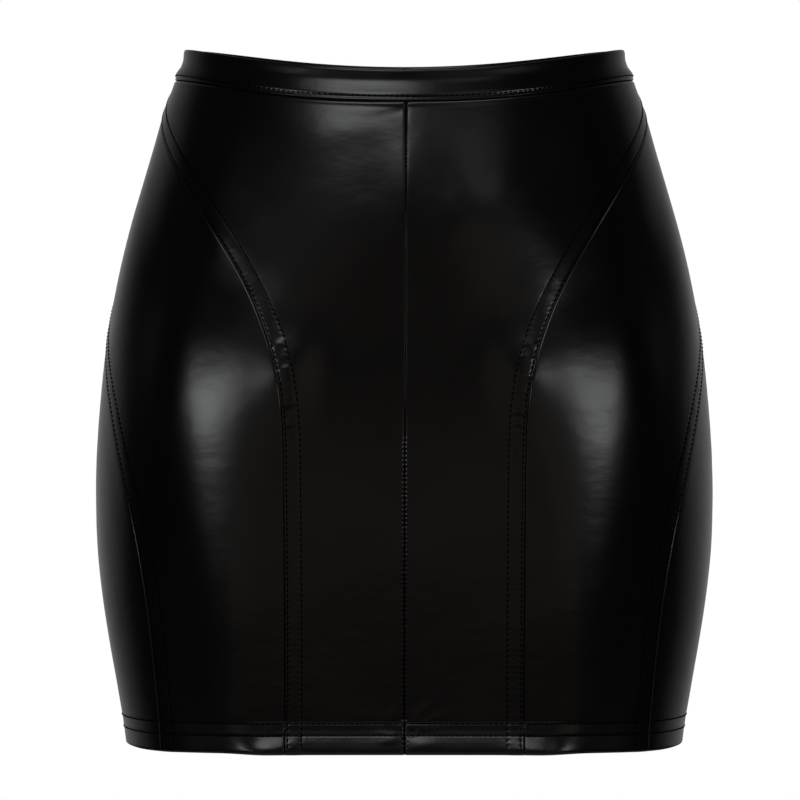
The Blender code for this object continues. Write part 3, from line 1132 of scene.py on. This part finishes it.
# %% Floor
FLOOR_DROP = 1.0  # below the waist, in metres
FLOOR_RADIUS = 1.3
bpy.ops.object.select_all(action="DESELECT")
bpy.ops.mesh.primitive_circle_add(
    vertices=96, radius=FLOOR_RADIUS, fill_type="NGON", location=(0, 0, -FLOOR_DROP)
)
bpy.ops.object.transform_apply(location=True)
floor = bpy.context.object
floor.name = "floor"
floor_paint, _ = new_material("matt_pale_floor", Roughness=0.9, Base_Color=linear("#e8e8e6"))
floor.data.materials.append(floor_paint)
print("floor %.1f m below the waist" % FLOOR_DROP)

# %% Softboxes
LIGHT_TARGET = Vector((0.0, 0.0, -0.2))
DAYLIGHT = (0.98, 1.0, 1.0)
WARM = (1.0, 0.9, 0.84)
SOFTBOXES = (
    # name, azimuth, elevation, distance, width, height, radiance, colour
    ("left_box", -40.4, 7.4, 2, 0.35, 0.14, 12.2, DAYLIGHT),
    ("right_box", 40.4, 7.4, 2, 0.35, 0.14, 11.3, DAYLIGHT),
    ("high_left_box", -13.9, 38.6, 2, 0.84, 0.6, 3.3, DAYLIGHT),
    ("high_right_box", 20.6, 28.7, 2, 0.57, 0.42, 0.476, DAYLIGHT),
    ("top_right_box", 22, 66, 2, 0.7, 0.5, 3, DAYLIGHT),
    ("low_fill", 0, -6.3, 3.2, 3.76, 0.45, 0.2, WARM),
    ("left_fill", -18.2, 6, 3.2, 1.4, 0.94, 0.137, WARM),
    ("right_fill", 18.2, 6, 3.2, 1.4, 0.94, 0.188, WARM),
)


def softbox(name, azimuth, elevation, distance, width, height, radiance, colour):
    """A rectangular light that faces the skirt. Azimuth 0 is in front, at -Y."""
    data = bpy.data.lights.new(name, "AREA")
    data.shape = "RECTANGLE"
    data.size, data.size_y = width, height
    data.energy = radiance * width * height * np.pi
    data.color = colour
    light = bpy.data.objects.new(name, data)
    turn, rise = np.radians(azimuth), np.radians(elevation)
    away = Vector((np.sin(turn) * np.cos(rise), -np.cos(turn) * np.cos(rise), np.sin(rise)))
    light.location = LIGHT_TARGET + away * distance
    light.rotation_euler = away.to_track_quat("Z", "Y").to_euler()
    light.visible_camera = False
    bpy.context.scene.collection.objects.link(light)
    return light


for row in SOFTBOXES:
    print(softbox(*row).name, "lights the skirt")

# %% Backdrop: reflected as pale behind the skirt and dark elsewhere, and seen as white
ROOM = 0.02  # radiance below the horizon
ROOM_TINT = (1.0, 0.9, 0.82)
BACKDROP = (
    # how squarely behind the skirt, from -1 in front to 1 behind, and radiance
    (-0.3, 0.012), (0, 0.016), (0.3, 0.018), (0.55, 0.14), (0.75, 0.235), (0.9, 0.33), (1, 0.42),
)
HORIZON = (-0.25, -0.05)  # between the room and the backdrop

world = bpy.data.worlds.new("studio")
world.use_nodes = True
bpy.context.scene.world = world
world.node_tree.nodes.clear()
way = add_node(world, "ShaderNodeTexCoord")
split = add_node(world, "ShaderNodeSeparateXYZ", [("Vector", way.outputs["Generated"])])
behind = add_node(
    world, "ShaderNodeMapRange", [("Value", split.outputs["Y"])], From_Min=-1.0, From_Max=1.0
)
ramp = add_node(world, "ShaderNodeValToRGB", [("Fac", behind.outputs["Result"])])
stops = ramp.color_ramp.elements
while len(stops) < len(BACKDROP):
    stops.new(0.5)
for stop, (facing, radiance) in zip(stops, BACKDROP):
    stop.position = (facing + 1) / 2
    stop.color = (radiance, radiance, radiance, 1.0)
above = add_node(
    world, "ShaderNodeMapRange", [("Value", split.outputs["Z"])],
    From_Min=HORIZON[0], From_Max=HORIZON[1],
)
walls = add_node(
    world, "ShaderNodeMixRGB", [("Fac", above.outputs["Result"]), ("Color2", ramp.outputs["Color"])]
)
walls.inputs["Color1"].default_value = [ROOM * tone for tone in ROOM_TINT] + [1.0]
rays = add_node(world, "ShaderNodeLightPath")
seen = add_node(
    world, "ShaderNodeMixRGB",
    [("Fac", rays.outputs["Is Camera Ray"]), ("Color1", walls.outputs["Color"])],
    Color2=(1, 1, 1, 1),
)
glow = add_node(world, "ShaderNodeBackground", [("Color", seen.outputs["Color"])], Strength=1.0)
add_node(world, "ShaderNodeOutputWorld", [("Surface", glow.outputs["Background"])])
bpy.context.scene.view_settings.view_transform = "Standard"
print("backdrop radiance up to", BACKDROP[-1][1])
